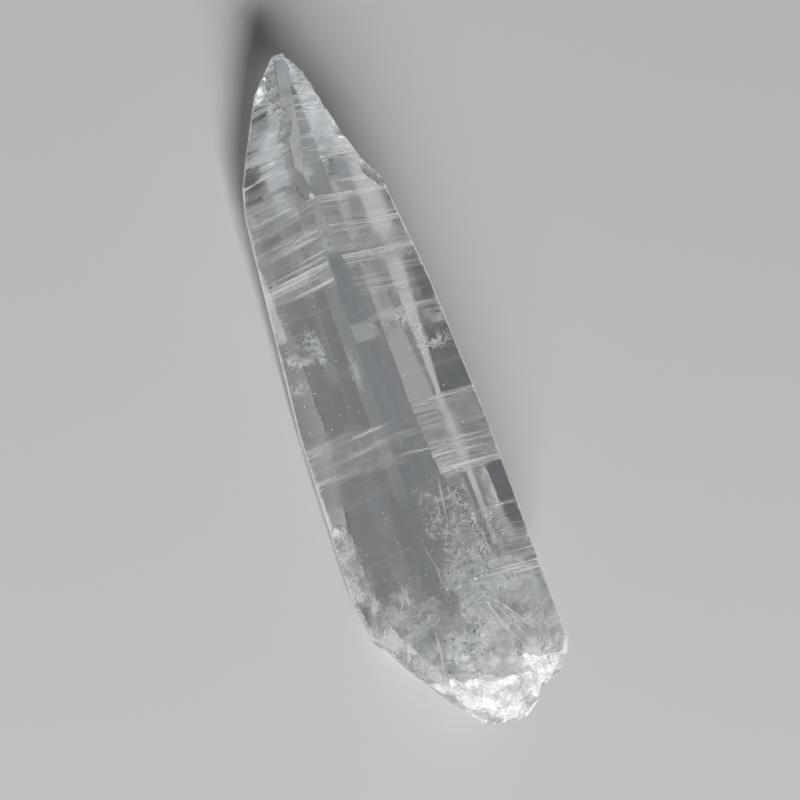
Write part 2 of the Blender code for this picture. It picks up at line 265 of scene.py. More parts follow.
# Long pointed fractures one by one: from (distance from the point, across) to (the same), bow and half width.
FRACTURES = [
    ((118.8, -11.9), (125.8, -11.6), 0.5, 0.45), ((121.6, -12.1), (125.4, -9.8), -0.5, 0.3),
    ((122.5, -12.4), (125.6, -13.9), 0.3, 0.22), ((134, -13.2), (141, -12.7), 0.3, 0.25),
    ((131.8, -7.8), (141.2, -9.1), 0.4, 0.42), ((143, -8.2), (149, -6.2), -0.6, 0.3),
    ((127.5, 4.6), (140.1, 9.4), -0.5, 0.34), ((129.2, 6.6), (137.6, 12), 0.4, 0.3),
    ((129.4, 6), (138.6, 10.2), 0.1, 0.16), ((130.6, 7.4), (137.8, 11), 0.1, 0.14),
    ((140.1, 9.4), (137.4, 12.1), 0.3, 0.22), ((127.3, 4.4), (129.4, 6.8), 0.2, 0.2),
    ((99, 3.3), (112, 1.8), 0.3, 0.16), ((110.5, 0.2), (113.6, 2.6), 0.2, 0.16),
    ((109.6, 2), (114.6, 0), 0.3, 0.16), ((111.4, -1.2), (112.8, 3.4), 0.2, 0.16),
    ((102.8, -0.9), (103.4, 1.2), 0.3, 0.16), ((104.4, 1.4), (108.6, 0.6), 0.5, 0.14),
    ((113, -4.2), (126.5, -2.6), 0.3, 0.14), ((113.4, 8.8), (123, 9.6), -0.4, 0.14),
    ((129, -1.6), (131.6, -0.4), 0.5, 0.4), ((136.5, 2.4), (139.4, 4.6), 0.9, 0.16),
    ((139.6, 2.6), (141.2, 5.8), 0.7, 0.16), ((143.6, -1.4), (144.6, 2.4), -0.5, 0.3),
    ((141.2, -2.6), (147.2, -2.2), 0.6, 0.16), ((142.6, 12.6), (138.8, 16.4), 0.5, 0.25),
    ((146.8, 3.6), (149.4, 8), 0.6, 0.3), ((149.6, -3.6), (151.4, 1.2), 0.5, 0.3),
]
FRACTURE_DEPTH = 0.9
FRACTURE_STEPS = 12
# No flaw lies nearer the point than this, nor a flake nearer the skin.
POINT_CLEAR = 8
FLAKE_MARGIN = 0.4
# Small hollows inside, painted as black flakes, painted shade for the dark seen through them: (distance from
# the point, across, radius, how many flakes).
HOLLOWS = [(134.4, -4.5, 0.45, 14), (133.8, 0.2, 0.7, 8), (135.2, 1, 0.5, 5), (120.2, -1.2, 0.4, 5),
           (119.4, 3, 0.5, 5), (31, -5.2, 1.1, 10), (32.6, -4.6, 0.8, 6), (147.2, 13.6, 0.4, 4)]

# The quartz finish. Its grains: (scale along each axis, detail, distortion).
GRAINS = {
    "fine_lines": ((0.05, 2.6, 0.05), 1.0, 0.0),
    "lines": ((0.035, 1.05, 0.035), 1.0, 0.0),
    "bands": ((0.02, 0.33, 0.02), 2.0, 0.0),
    "crinkles": ((1.1, 0.7, 1.1), 2.0, 2.2),
    "speckle": ((2.2, 2.2, 2.2), 2.0, 0.0),
    "mottle": ((0.3, 0.45, 0.3), 3.0, 0.0),
}
RIDGE_LINE = -2.0
LINE_BUMP = 0.10
CRINKLE_BUMP = 0.4
# Where each starts to show in its grain, and how sharply.
STREAKS = (0.45, 5.0)
SWELL = (0.36, 4.0)
LINE_FROST = 0.68
CURL_SHARPNESS = 30.0
CURL_FROST = 0.5
GRIT = 2.2
MOTTLING = 1.3
LEAST_MOTTLED = 0.35
SMOOTHEST = 0.01
ROUGHNESS_RANGE = 0.42
# How much frost cover it takes to turn milky, and how milky it gets.
MILKY_COVER = 0.15
MILKY_SHARE = 0.5
QUARTZ_TINT = (0.95, 0.965, 0.975, 1.0)
QUARTZ_IOR = 1.544
DEPTH_TINT = (0.78, 0.84, 0.87, 1.0)
DEPTH_DENSITY = 5.0
SHARP_ANGLE = 11

# The floor, in millimetres, and the studio, in metres and watts: (name, place, size, power).
FLOOR_REACH = 1500
FLOOR_GAP = 0.25
FLOOR_TONE = 0.42
SURROUND = (0.04, 0.04, 0.041, 1)
LIGHTS = [
    ("key_light", (-0.80, -2.50, 1.45), (1.6, 1.6), 215.0),
    ("fill_light", (0.35, 0.0, 0.9), (0.9, 1.4), 0.55),
    ("side_light", (-1.3, 0.0, 0.3), (0.4, 1.2), 0.5),
]
LIGHT_AIM = (0, 0, 0.01)

# The camera: its distance and field in metres, and where on the crystal it aims, in millimetres.
CAMERA_DISTANCE = 0.5
FIELD = 0.17778
AIM_DISTANCE = 81.4
AIM_ACROSS = 1.1
TURN = math.radians(-18.84)


def value_at(stations, s):
    """Straight-line value between (distance, value) stations, level beyond the first and the last."""
    places, values = zip(*stations)
    return np.interp(s, places, values)


def ledge_stations(face):
    """Relief of a face as stations: it sinks slowly inwards, then each ledge steps back out."""
    spread = random.Random(face + 1)
    stations = [(0.0, 0.0)]
    for first, last, count, depth in LEDGES[face]:
        stations.append((first - LEDGE_LEAD, 0.0))
        gap = (last - first) / max(count - 1, 1)
        for step in range(count):
            place = first + (step + spread.uniform(-0.2, 0.2)) * gap
            low = round(place - LEDGE_RISER / 2, 1)
            stations.append((low, -depth * spread.uniform(0.6, 1.2) * LEDGE_SHARE[face]))
            stations.append((round(low + LEDGE_RISER, 1), 0.0))
    return stations


def normal_of(face):
    """Unit normal of a face in the cross-section, as (across, up)."""
    angle = math.radians(FACE_ANGLES[face])
    return math.sin(angle), math.cos(angle)


def face_distances(s, ledges):
    """Distance of each face from the axis in the cross-section at s."""
    ridge = value_at(RIDGE_HEIGHT, s)
    back = value_at(BACK_HEIGHT, s)
    points = {
        LEFT: (value_at(LEFT_SIDE, s), 0.0),
        FRONT_L: (value_at(RIDGE_LEFT, s), ridge),
        RIDGE: (0.0, ridge),
        FRONT_R: (value_at(RIDGE_RIGHT, s), ridge),
        RIGHT: (value_at(RIGHT_SIDE, s), 0.0),
        BACK_R: (value_at(BACK_RIGHT, s), back),
        BACK_L: (value_at(BACK_LEFT, s), back),
    }
    distances = []
    for face in FACES:
        across, up = normal_of(face)
        x, z = points[face]
        relief = value_at(ledges[face], s) if ledges else 0.0
        distances.append(across * x + up * z + relief)
    return distances


def section(s, ledges):
    """Corners of the cross-section at s: where each face meets the next."""
    distances = face_distances(s, ledges)
    corners = []
    for face in FACES:
        after = (face + 1) % len(FACES)
        ax, az = normal_of(face)
        bx, bz = normal_of(after)
        turn = ax * bz - az * bx
        x = (distances[face] * bz - distances[after] * az) / turn
        z = (ax * distances[after] - bx * distances[face]) / turn
        corners.append((x, z))
    return corners


def band_strength(bands, s, feather):
    """Highest strength of the bands that s lies in, fading out over the feather beyond each end."""
    s = np.asarray(s, dtype=float)
    strength = np.zeros_like(s)
    for first, last, full in bands:
        inside = np.clip((s - first) / feather + 0.5, 0, 1) * np.clip((last - s) / feather + 0.5, 0, 1)
        strength = np.maximum(strength, full * inside)
    return strength


def rows(ledges):
    """Where the fine mesh has its rows: evenly spaced, and at every station of the outline and the ledges."""
    places = {BLANK_LENGTH}
    outline = [LEFT_SIDE, RIGHT_SIDE, RIDGE_LEFT, RIDGE_RIGHT, RIDGE_HEIGHT, BACK_HEIGHT]
    for stations in outline + ledges:
        places.update(round(s, 1) for s, _ in stations)
    for step in range(int(BLANK_LENGTH / ROW_SPACING)):
        s = step * ROW_SPACING
        if min(abs(s - place) for place in places) > CLOSEST_ROWS:
            places.add(s)
    return sorted(places)


def add_object(name, data):
    """A new object with its data, in the scene."""
    item = bpy.data.objects.new(name, data)
    bpy.context.scene.collection.objects.link(item)
    return item


def new_object(name, mesh_data):
    """Put a finished bmesh into an object of its own, still in millimetres."""
    bmesh.ops.recalc_face_normals(mesh_data, faces=mesh_data.faces)
    mesh = bpy.data.meshes.new(name)
    mesh_data.to_mesh(mesh)
    mesh_data.free()
    return add_object(name, mesh)


def loft_crystal():
    """The uncut crystal, to past its base, with the strength of its growth lines on each vertex."""
    ledges = [ledge_stations(face) for face in FACES]
    places = rows(ledges)
    points = []
    strengths = []
    for s in places:
        corners = section(s, ledges)
        for face in FACES:
            start, end = corners[face - 1], corners[face]
            strength = float(band_strength(LINES[face], s, LINES_FEATHER))
            for column in range(COLUMNS[face]):
                share = column / COLUMNS[face]
                x = start[0] + share * (end[0] - start[0])
                z = start[1] + share * (end[1] - start[1])
                spot = Vector((x, s * WAVER_STRETCH, z)) / WAVER_LENGTH
                drift = noise.noise(spot) * min(s / WAVER_FULL, 1.0)
                points.append((x, -s + WAVER * drift, z))
                strengths.append(strength if column else EDGE_LINES * strength)
    around = sum(COLUMNS.values())
    count = len(places)
    faces = []
    for row in range(count - 1):
        for column in range(around):
            after = (column + 1) % around
            here, there = row * around, (row + 1) * around
            faces.append((here + column, here + after, there + after, there + column))
    faces.append(tuple(range(around)))
    faces.append(tuple(range((count - 1) * around, count * around)))
    mesh = bpy.data.meshes.new(NODE)
    mesh.from_pydata(points, [], faces)
    body = bmesh.new()
    body.from_mesh(mesh)
    item = new_object("dressed_crystal", body)
    item.data.attributes.new("line_strength", "FLOAT", "POINT").data.foreach_set("value", strengths)
    return item


def new_tree(name, sizes, material):
    """An empty Geometry Nodes tree with named inputs: sizes as (name, value), and the finish."""
    tree = bpy.data.node_groups.new(name, "GeometryNodeTree")
    tree.interface.new_socket("Geometry", in_out="INPUT", socket_type="NodeSocketGeometry")
    for label, value in sizes:
        kind = "NodeSocketInt" if isinstance(value, int) else "NodeSocketFloat"
        socket = tree.interface.new_socket(label, in_out="INPUT", socket_type=kind)
        socket.default_value = value
    finish = tree.interface.new_socket("Finish", in_out="INPUT", socket_type="NodeSocketMaterial")
    finish.default_value = material
    tree.interface.new_socket("Geometry", in_out="OUTPUT", socket_type="NodeSocketGeometry")
    return tree, tree.nodes.new("NodeGroupInput"), tree.nodes.new("NodeGroupOutput")


def add_node(tree, kind, inputs=None, **settings):
    """A node with its settings, and its inputs given as values, or as nodes or sockets to link from."""
    node = tree.nodes.new(kind)
    for name, value in settings.items():
        setattr(node, name, value)
    for name, value in (inputs or {}).items():
        if isinstance(value, bpy.types.Node):
            value = value.outputs[0]
        if isinstance(value, bpy.types.NodeSocket):
            tree.links.new(value, node.inputs[name])
        else:
            node.inputs[name].default_value = value
    return node


def calculate(tree, operation, *terms, clamp=False):
    """The result of one maths node."""
    return add_node(tree, "ShaderNodeMath", dict(enumerate(terms)), operation=operation,
                    use_clamp=clamp).outputs[0]


def carried(tree, name, kind="FLOAT"):
    """What the points or corners carry under a name."""
    node = add_node(tree, "GeometryNodeInputNamedAttribute", {"Name": name}, data_type=kind)
    return node.outputs["Attribute"]


def finish_tree(tree, outlet, geometry, material):
    """Close a tree: real geometry, with its finish."""
    real = add_node(tree, "GeometryNodeRealizeInstances", {"Geometry": geometry})
    dressed = add_node(tree, "GeometryNodeSetMaterial", {"Geometry": real, "Material": material})
    tree.links.new(dressed.outputs[0], outlet.inputs[0])


def grow_lines_tree(material):
    """Fine growth lines: the surface sinks in and out along the crystal, each line running across it."""
    sizes = [("Line depth", LINE_DEPTH), ("Line spacing", LINE_SPACING), ("Line length", LINE_LENGTH),
             ("Seed", 7)]
    tree, inlet, outlet = new_tree("growth_lines", sizes, material)
    place = add_node(tree, "GeometryNodeInputPosition")
    parts = add_node(tree, "ShaderNodeSeparateXYZ", {0: place})
    scaled = [calculate(tree, "DIVIDE", parts.outputs[axis], inlet.outputs[size])
              for axis, size in (("X", "Line length"), ("Y", "Line spacing"), ("Z", "Line length"))]
    spot = add_node(tree, "ShaderNodeCombineXYZ", dict(enumerate(scaled)))
    grain = add_node(tree, "ShaderNodeTexNoise",
                     {"Vector": spot, "W": inlet.outputs["Seed"], "Scale": 1.0, "Detail": 1.0},
                     noise_dimensions="4D")
    strength = carried(tree, "line_strength")
    sink = calculate(tree, "SUBTRACT", grain.outputs[0], 1.0)
    depth = calculate(tree, "MULTIPLY", sink, inlet.outputs["Line depth"])
    shaped = calculate(tree, "MULTIPLY", depth, strength)
    facing = add_node(tree, "GeometryNodeInputNormal")
    move = add_node(tree, "ShaderNodeVectorMath", {0: facing, "Scale": shaped}, operation="SCALE")
    moved = add_node(tree, "GeometryNodeSetPosition", {"Geometry": inlet.outputs["Geometry"], "Offset": move})
    finish_tree(tree, outlet, moved, inlet.outputs["Finish"])
    return tree


def flake_tree(material):
    """Scatter: a small flat flake on every point, its size and facing read from the point."""
    sizes = [("Flake size", 1.0), ("Roughness", 0.5), ("Seed", 3)]
    tree, inlet, outlet = new_tree("flake_scatter", sizes, material)
    flake = add_node(tree, "GeometryNodeMeshCircle", {"Vertices": 5, "Radius": inlet.outputs["Flake size"]},
                     fill_type="NGON")
    scatter(tree, inlet, outlet, flake)
    return tree


def wisp_tree(material):
    """Scatter: a thin bent splinter on every point, its size and facing read from the point."""
    sizes = [("Wisp length", 1.0), ("Wisp bend", WISP_BEND), ("Wisp thickness", WISP_THICKNESS),
             ("Roughness", 0.4), ("Seed", 5)]
    tree, inlet, outlet = new_tree("wisp_scatter", sizes, material)
    half = calculate(tree, "MULTIPLY", inlet.outputs["Wisp length"], 0.5)
    back = calculate(tree, "MULTIPLY", inlet.outputs["Wisp length"], -0.5)
    start = add_node(tree, "ShaderNodeCombineXYZ", {1: back})
    middle = add_node(tree, "ShaderNodeCombineXYZ", {0: inlet.outputs["Wisp bend"]})
    end = add_node(tree, "ShaderNodeCombineXYZ", {1: half})
    line = add_node(tree, "GeometryNodeCurveQuadraticBezier",
                    {"Resolution": 5, "Start": start, "Middle": middle, "End": end})
    along = add_node(tree, "GeometryNodeSplineParameter")
    off = calculate(tree, "SUBTRACT", along.outputs["Factor"], WISP_THICKEST)
    taper = calculate(tree, "MULTIPLY_ADD", calculate(tree, "MULTIPLY", off, off), -WISP_TAPER, 1.0)
    shaped = add_node(tree, "GeometryNodeSetCurveRadius", {"Curve": line, "Radius": taper})
    profile = add_node(tree, "GeometryNodeCurvePrimitiveCircle",
                       {"Resolution": 4, "Radius": inlet.outputs["Wisp thickness"]})
    splinter = add_node(tree, "GeometryNodeCurveToMesh",
                        {"Curve": shaped, "Profile Curve": profile, "Fill Caps": True})
    scatter(tree, inlet, outlet, splinter)
    return tree


def scatter(tree, inlet, outlet, instance):
    """Put an instance on every point, its size and facing read from the point, then make it real."""
    size = carried(tree, "size")
    facing = carried(tree, "facing", "FLOAT_VECTOR")
    aligned = add_node(tree, "FunctionNodeAlignRotationToVector", {"Vector": facing}, axis="Z")
    rough = inlet.outputs["Roughness"]
    limit = calculate(tree, "MULTIPLY", rough, -1.0)
    low = add_node(tree, "ShaderNodeCombineXYZ", {0: limit, 1: limit, 2: -3.14})
    high = add_node(tree, "ShaderNodeCombineXYZ", {0: rough, 1: rough, 2: 3.14})
    jitter = add_node(tree, "FunctionNodeRandomValue", {"Seed": inlet.outputs["Seed"], 0: low, 1: high},
                      data_type="FLOAT_VECTOR")
    turned = add_node(tree, "FunctionNodeRotateRotation", {"Rotation": aligned, "Rotate By": jitter},
                      rotation_space="LOCAL")
    placed = add_node(tree, "GeometryNodeInstanceOnPoints",
                      {"Points": inlet.outputs["Geometry"], "Instance": instance, "Rotation": turned,
                       "Scale": size})
    finish_tree(tree, outlet, placed, inlet.outputs["Finish"])


def apply_modifiers(item):
    """Turn an object's modifiers into plain mesh."""
    graph = bpy.context.evaluated_depsgraph_get()
    mesh = bpy.data.meshes.new_from_object(item.evaluated_get(graph))
    item.modifiers.clear()
    item.data = mesh
    mesh.name = item.name


def run_tree(item, tree, **values):
    """Run a tree on an object, with its named inputs set first, and keep the result as plain mesh."""
    modifier = item.modifiers.new(tree.name, "NODES")
    modifier.node_group = tree
    wanted = {name.replace("_", " "): value for name, value in values.items()}
    for socket in tree.interface.items_tree:
        if socket.name in wanted and socket.in_out == "INPUT":
            modifier[socket.identifier] = wanted[socket.name]
    apply_modifiers(item)


def base_lean(z):
    """How far the broken base has drawn back towards the point at a height."""
    above = z - BASE_BULGE_HEIGHT
    return np.where(above > 0, BASE_FRONT_LEAN * (above / (THICKNESS - BASE_BULGE_HEIGHT)) ** 2,
                    BASE_BACK_LEAN * (above / BASE_BULGE_HEIGHT) ** 2)


def base_distance(x, z):
    """Distance from the point of the broken base, at a place in the cross-section."""
    away = math.hypot(x - RIPPLE_CENTRE[0], z - RIPPLE_CENTRE[1])
    ripple = RIPPLE_DEPTH * math.sin(2 * math.pi * away / RIPPLE_SPACING)
    lump = LUMP_DEPTH * noise.noise(Vector((x, z, 0.0)) / LUMP_SIZE)
    creases = sum(depth * abs(noise.noise(Vector((x, z, 5.0)) / size)) for size, depth in CREASES)
    return value_at(BASE_EDGE, x) - base_lean(z) + ripple + lump - creases


def make_base_cutter():
    """A block whose near surface is the broken base."""
    width = CUTTER_ACROSS[1] - CUTTER_ACROSS[0]
    height = CUTTER_HEIGHTS[1] - CUTTER_HEIGHTS[0]
    cutter = bmesh.new()
    bmesh.ops.create_grid(cutter, x_segments=round(width / CUTTER_CELL),
                          y_segments=round(height / CUTTER_CELL), size=0.5)
    for vert in cutter.verts:
        x = CUTTER_ACROSS[0] + (vert.co.x + 0.5) * width
        z = CUTTER_HEIGHTS[0] + (vert.co.y + 0.5) * height
        vert.co = (x, -base_distance(x, z), z)
    far = bmesh.ops.extrude_face_region(cutter, geom=list(cutter.faces))
    for item in far["geom"]:
        if isinstance(item, bmesh.types.BMVert):
            item.co.y = -2 * BLANK_LENGTH
    return new_object("base_cutter", cutter)


def front_height(s, x):
    """Height of the front of the crystal at a place across it."""
    slope = math.tan(math.radians(FACE_ANGLES[FRONT_R]))
    outside = max(value_at(RIDGE_LEFT, s) - x, x - value_at(RIDGE_RIGHT, s), 0.0)
    return value_at(RIDGE_HEIGHT, s) - outside * slope


def skin_height(s, x):
    """Height of what shows from the front at a place: the front faces, or the broken base below them."""
    past = max(value_at(BASE_EDGE, x) - s - BASE_ROUGHNESS, 0.0)
    broken = BASE_BULGE_HEIGHT + (THICKNESS - BASE_BULGE_HEIGHT) * math.sqrt(past / BASE_FRONT_LEAN)
    return min(front_height(s, x), broken)


def front_normal(s, x):
    """Which way the front face at a place looks."""
    if x < value_at(RIDGE_LEFT, s):
        face = FRONT_L
    elif x > value_at(RIDGE_RIGHT, s):
        face = FRONT_R
    else:
        face = RIDGE
    across, up = normal_of(face)
    return across, 0.0, up


def make_scoop(s, x, rise, radius, stretch, ruggedness=RUGGEDNESS):
    """A rough ball that scoops out one chip: stretched along each axis, its centre a rise above the front."""
    centre = (x, -s, front_height(s, x) + rise)
    cutter = bmesh.new()
    bmesh.ops.create_icosphere(cutter, subdivisions=3, radius=radius)
    for vert in cutter.verts:
        rough = noise.noise(vert.co / (0.7 * radius) + Vector(centre))
        vert.co *= 1.0 + ruggedness * rough
    bmesh.ops.scale(cutter, verts=cutter.verts, vec=stretch)
    bmesh.ops.translate(cutter, verts=cutter.verts, vec=centre)
    return new_object("scoop", cutter)


def spread_along(row, seed):
    """Places along a chipped edge, each with its radius and a share from 0 to 1 for its other sizes."""
    first, last, count, smallest, largest = row
    spread = random.Random(seed)
    for step in range(count):
        s = first + (last - first) * (step + spread.uniform(-0.3, 0.3)) / (count - 1)
        yield s, spread.uniform(smallest, largest), spread.random()


def make_scoops():
    """Cutters of the chips on the ridge, the point's right edge and the lower left edge, and single ones."""
    cutters = []
    for s, radius, share in spread_along(RIDGE_CHIPS, 11):
        x = value_at(RIDGE_LEFT, s) - RIDGE_CHIP_OFFSET * (0.5 + share)
        stretch = (0.7 + 0.5 * share, 1.5 - 0.6 * share, 1.0)
        cutters.append(make_scoop(s, x, 0.6 * radius, radius, stretch))
    for s, radius, share in spread_along(FINE_CHIPS, 13):
        x = value_at(RIDGE_LEFT, s) - 0.4 - 2.6 * share
        cutters.append(make_scoop(s, x, 0.5 * radius - 0.25, radius, (1.0, 1.3 - 0.5 * share, 0.9)))
    for s, radius, share in spread_along(TIP_NIBBLES, 12):
        x = value_at(RIGHT_SIDE, s) + (0.55 + 0.2 * share) * radius
        cutters.append(make_scoop(s, x, -radius, radius, (1.0, 1.2, NIBBLE_STRETCH)))
    for s, radius, share in spread_along(LOWER_CHIPS, 14):
        x = value_at(LOWER_EDGE, s) - 0.4 * share
        rise = radius - LOWER_CHIP_DEPTH * (0.75 + 0.25 * share)
        cutters.append(make_scoop(s, x, rise, radius, LOWER_CHIP_STRETCH, LOWER_RUGGEDNESS))
    for s, x, radius, depth in SCOOPS:
        cutters.append(make_scoop(s, x, radius - depth, radius, (1.0, 1.3, 1.0)))
    return cutters


def cut_away(item, cutters):
    """Remove the cutters' volumes from an object, and then the cutters themselves."""
    tools = bpy.data.collections.new("cutters")
    bpy.context.scene.collection.children.link(tools)
    for cutter in cutters:
        tools.objects.link(cutter)
    modifier = item.modifiers.new("chips", "BOOLEAN")
    modifier.operation = "DIFFERENCE"
    modifier.solver = "MANIFOLD"
    modifier.operand_type = "COLLECTION"
    modifier.collection = tools
    apply_modifiers(item)
    for cutter in cutters:
        bpy.data.objects.remove(cutter, do_unlink=True)
    bpy.data.collections.remove(tools)


def noise_at(places, size):
    """Smooth noise at each place, in lumps of the size."""
    return np.array([noise.noise(Vector(place) / size) for place in places])


def face_corners(mesh):
    """Where every face corner lies, and the normal of its face."""
    corner_points = np.empty(len(mesh.loops), dtype=np.int32)
    mesh.loops.foreach_get("vertex_index", corner_points)
    places = np.empty(len(mesh.vertices) * 3)
    mesh.vertices.foreach_get("co", places)
    totals = np.empty(len(mesh.polygons), dtype=np.int32)
    mesh.polygons.foreach_get("loop_total", totals)
    normals = np.empty(len(mesh.polygons) * 3)
    mesh.polygons.foreach_get("normal", normals)
    return places.reshape(-1, 3)[corner_points], np.repeat(normals.reshape(-1, 3), totals, axis=0)


def nearest_faces(places, normals):
    """Which crystal face each corner looks like, and whether it lies in that face's skin, unbroken."""
    s, x, z = -places[:, 1], places[:, 0], places[:, 2]
    sides = np.array([normal_of(face) for face in FACES])
    match = normals[:, [0, 2]] @ sides.T
    facing = match.argmax(axis=1)
    whole = np.array(face_distances(s, None))[facing, np.arange(len(places))]
    sunk = whole - (x * sides[facing, 0] + z * sides[facing, 1])
    return facing, (match.max(axis=1) > SKIN_MATCH) & (sunk < SKIN_DEPTH)


def edge_frost_and_highlight(s, x, left_front):
    """Frost and painted highlight along the side edges: the wide strip on the left front face, its thin
    stretches a painted highlight, and the rim on both sides, a painted highlight of their bright outline.
    """
    inset = x - value_at(LEFT_SIDE, s)
    strip = STRIP_FROST_AND_HIGHLIGHT * np.clip((value_at(EDGE_STRIP, s) - inset) / EDGE_FADE + 0.5, 0, 1)
    from_side = np.minimum(inset, value_at(RIGHT_SIDE, s) - x)
    painted_rim_highlight = RIM_HIGHLIGHT_FROST * np.clip((RIM_HIGHLIGHT_WIDTH - from_side) / EDGE_FADE + 0.5, 0, 1)
    return np.maximum(np.where(left_front, strip, 0.0), painted_rim_highlight)


def paint_marks(mesh):
    """Frost with painted edge highlights, crinkle and growth lines on every face corner, from where it lies
    and which way it faces.
    """
    places, normals = face_corners(mesh)
    facing, skin = nearest_faces(places, normals)
    s, x = -places[:, 1], places[:, 0]
    frost, crinkle, lines = np.zeros((3, len(places)))
    for face in FACES:
        here = skin & (facing == face)
        frost[here] = band_strength(FROST[face], s[here], FROST_FEATHER)
        crinkle[here] = band_strength(CRINKLE[face], s[here], CRINKLE_FEATHER)
        lines[here] = band_strength(LINES[face], s[here], LINES_FEATHER)
    front = skin & np.isin(facing, (FRONT_L, RIDGE, FRONT_R))
    patchy, grainy = noise_at(places, PATCH_SIZE), noise_at(places, GRAIN_SIZE)
    for centre, across, length, width, strength in BRUISES:
        away = np.hypot((s - centre) / length, (x - across) / width) + FRAY * grainy
        frost = np.where(front, np.maximum(frost, strength * np.clip(1.5 - away, 0, 1)), frost)
    # The edge strip and rim add their painted highlight to the frost on the front.
    edge_marks_with_highlight = edge_frost_and_highlight(s, x, facing == FRONT_L)
    frost = np.where(front, np.maximum(frost, edge_marks_with_highlight), frost)
    milky = np.clip((s - MILKY_FROM) / (MILKY_FULL - MILKY_FROM), 0, 1)
    cloudy = np.array([noise.fractal(Vector(place) / CLOUDY_SIZE, *CLOUDY_FRACTAL) for place in places])
    mean, swing, least, most = CLOUDY
    frost = np.maximum(frost, np.clip(mean + swing * cloudy, least, most) * milky)
    breaks = [share + patch * patchy + grain * grainy
              for share, patch, grain in (BASE_BREAK_FROST, TIP_BREAK_FROST)]
    frost = np.where(skin, frost, np.where(s > BREAK_FROM, *breaks))
    crinkle = np.where(skin, crinkle, BREAK_CRINKLE)
    for name, values in (("frost", np.maximum(frost, 0.0)), ("crinkle", crinkle), ("lines", lines)):
        layer = mesh.attributes.new(name, "FLOAT", "CORNER")
        layer.data.foreach_set("value", values.astype(np.float32))


def put_in_place(item, matrix):
    """Move a drawn piece into the frame, in metres, with its place in its mesh."""
    item.data.transform(matrix)
    item.data.update()


def seating():
    """The turn, scale and shift that lay the drawn crystal in its node's box."""
    low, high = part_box(NODE)
    turn = Matrix.Rotation(ROLL, 4, "Y")
    across = [turn @ Vector((x, 0, z)) for s in range(60, 140) for x, z in section(s, None)]
    shift_x = high.x - MM * max(corner.x for corner in across)
    shift_z = MM * face_distances(60, None)[BACK_L]
    return Matrix.Translation((shift_x, high.y, shift_z)) @ turn @ Matrix.Scale(MM, 4)


def inside(places, margin, reach=0.0):
    """Which places lie inside the crystal by the margin, and short of its broken base by the reach too."""
    x, s, z = places[:, 0], -places[:, 1], places[:, 2]
    base = value_at(BASE_EDGE, x) - base_lean(z) - BASE_ROUGHNESS
    within = (s > POINT_CLEAR) & (s < base - margin - reach)
    for face, distance in zip(FACES, face_distances(s, None)):
        across, up = normal_of(face)
        within &= across * x + up * z < distance - margin
    return within


def points_object(name, points, sizes, facings):
    """Loose points carrying the size and facing of what grows on them."""
    mesh = bpy.data.meshes.new(name)
    mesh.from_pydata(points, [], [])
    mesh.attributes.new("size", "FLOAT", "POINT").data.foreach_set("value", np.float32(sizes))
    outward = mesh.attributes.new("facing", "FLOAT_VECTOR", "POINT")
    outward.data.foreach_set("vector", np.ravel(facings).astype(np.float32))
    return add_object(name, mesh)


def veil_flakes(chance, s0, x0, z0, length, width, lean, twist, flakes):
    """Places on one healed crack, a bent and ragged tilted disc, and which way it faces."""
    turn = Matrix.Rotation(twist, 3, "Z") @ Matrix.Rotation(lean, 3, "Y")
    along, across = chance.uniform(-1, 1, (2, flakes))
    grain = np.array([noise.noise(Vector((a * VEIL_GRAIN, b * VEIL_GRAIN, s0)))
                      for a, b in zip(along, across)])
    bend = VEIL_BEND * (along ** 2 - 0.4 * across) + VEIL_CRUMPLE * grain
    keep = (along ** 2 + across ** 2 < 1) & (grain + 0.45 > chance.uniform(0, 0.9, flakes))
    local = np.column_stack((across * width, along * length, bend))[keep]
    return local @ np.array(turn).T + (x0, -s0, z0), turn @ Vector((0, 0, 1))


def under_skin(x, s, depth):
    """Places at a depth under the front."""
    heights = np.array([skin_height(along, across) for along, across in zip(s, x)])
    return np.column_stack((x, -s, heights - depth))


def cloud_flakes(chance, s0, x0, length, width, flakes):
    """Places in one patchy cloud just under the front, and which way it faces."""
    along, across = chance.normal(0, 0.5, (2, flakes))
    x, s = x0 + width * across, s0 + length * along
    grain = np.array([noise.noise(Vector((a, b, s0)) / CLOUD_GRAIN) for a, b in zip(x, s)])
    return under_skin(x, s, CLOUD_DEPTH * chance.uniform(0.7, 1.6, flakes))[grain > -0.2], (0, 0, 1)


def speck_flakes(chance, first, last, count):
    """Places of the lone specks under the front, and which way they face."""
    s = chance.uniform(first, last, count)
    left, right = value_at(LEFT_SIDE, s), value_at(RIGHT_SIDE, s)
    return under_skin(left + chance.uniform(0.05, 0.95, count) * (right - left), s, CLOUD_DEPTH), (0, 0, 1)


def milk_flakes(chance, first, last, tried, steep):
    """Places of the fine milk, in clumps thickening towards the base, each facing its own way."""
    low, high = (MILK_LOW[0], -last, MILK_LOW[1]), (MILK_HIGH[0], -first, MILK_HIGH[1])
    spots = chance.uniform(low, high, (tried, 3))
    thick = ((-spots[:, 1] - first) / (last - first)) ** steep
    spots = spots[thick > chance.uniform(0, 1, tried)]
    clumps = np.array([noise.fractal(Vector(spot) / MILK_CLUMP_SIZE, *MILK_FRACTAL) for spot in spots])
    spots = spots[clumps + 0.25 > chance.uniform(0, 0.6, len(spots))]
    return spots, chance.normal(0, 1, (len(spots), 3))


